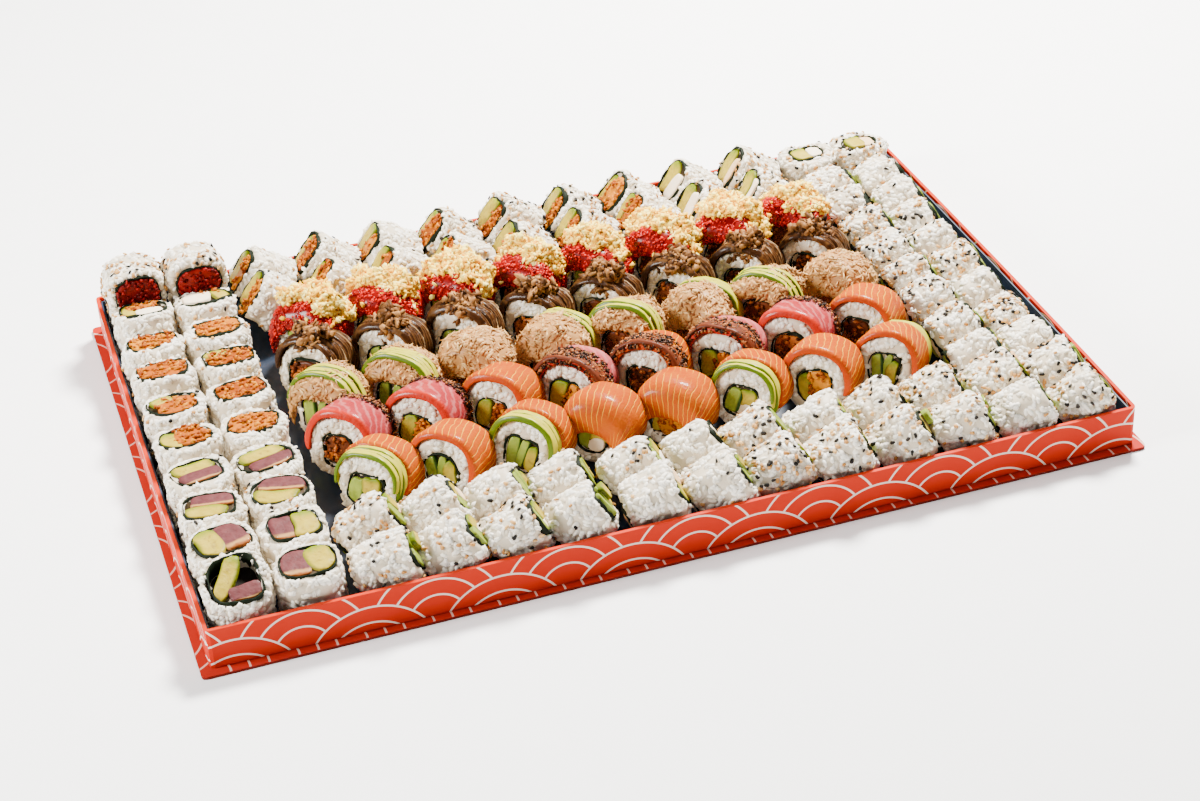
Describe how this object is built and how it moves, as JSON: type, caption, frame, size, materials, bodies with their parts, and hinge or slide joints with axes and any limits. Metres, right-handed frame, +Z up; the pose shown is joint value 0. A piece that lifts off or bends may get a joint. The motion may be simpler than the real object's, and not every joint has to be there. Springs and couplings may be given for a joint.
{
  "type": "takeaway sushi tray",
  "caption": "Shallow printed paperboard tray packed edge to edge with cut sushi rolls, its middle rows topped with salmon, tuna, crab salad, eel and roe.",
  "frame": {"origin": "middle of the base board's underside, on the surface the tray stands on", "axes": "+X along the long side to the right, +Y from the printed front to the back, +Z up"},
  "size_m": [0.51, 0.3434, 0.0585],
  "materials": {
    "board": "matt printed board",
    "printed_card": "satin print",
    "liner": "satin",
    "rice": "moist cooked grains",
    "salmon": "moist",
    "tuna": "moist",
    "crab_salad": "creamy",
    "eel": "glazed",
    "roe": "moist"
  },
  "bodies": {
    "root": {"base_board": "board", "tray": "printed_card", "liner": "liner", "left_outer_1": "rice", "left_outer_2": "rice", "left_inner_1": "rice", "left_inner_2": "rice", "front_near_1": "rice", "front_near_2": "rice", "front_far_1": "rice", "front_far_2": "rice", "right_1": "rice", "right_2": "rice", "right_3": "rice", "right_4": "rice", "right_corner": "rice", "back_near_1": "rice", "back_near_2": "rice", "back_far_1": "rice", "back_far_2": "rice", "salmon_roll_1": "salmon", "salmon_roll_2": "salmon", "salmon_roll_3": "salmon", "salmon_roll_4": "salmon", "salmon_roll_5": "salmon", "salmon_roll_6": "salmon", "salmon_roll_7": "salmon", "salmon_roll_8": "salmon", "tuna_roll_1": "tuna", "tuna_roll_2": "tuna", "tuna_roll_3": "tuna", "tuna_roll_4": "tuna", "tuna_roll_5": "tuna", "tuna_roll_6": "tuna", "tuna_roll_7": "tuna", "tuna_roll_8": "tuna", "salad_roll_1": "crab_salad", "salad_roll_2": "crab_salad", "salad_roll_3": "crab_salad", "salad_roll_4": "crab_salad", "salad_roll_5": "crab_salad", "salad_roll_6": "crab_salad", "salad_roll_7": "crab_salad", "salad_roll_8": "crab_salad", "eel_roll_1": "eel", "eel_roll_2": "eel", "eel_roll_3": "eel", "eel_roll_4": "eel", "eel_roll_5": "eel", "eel_roll_6": "eel", "eel_roll_7": "eel", "eel_roll_8": "eel", "roe_roll_1": "roe", "roe_roll_2": "roe", "roe_roll_3": "roe", "roe_roll_4": "roe", "roe_roll_5": "roe", "roe_roll_6": "roe", "roe_roll_7": "roe", "roe_roll_8": "roe"}
  },
  "joints": []
}
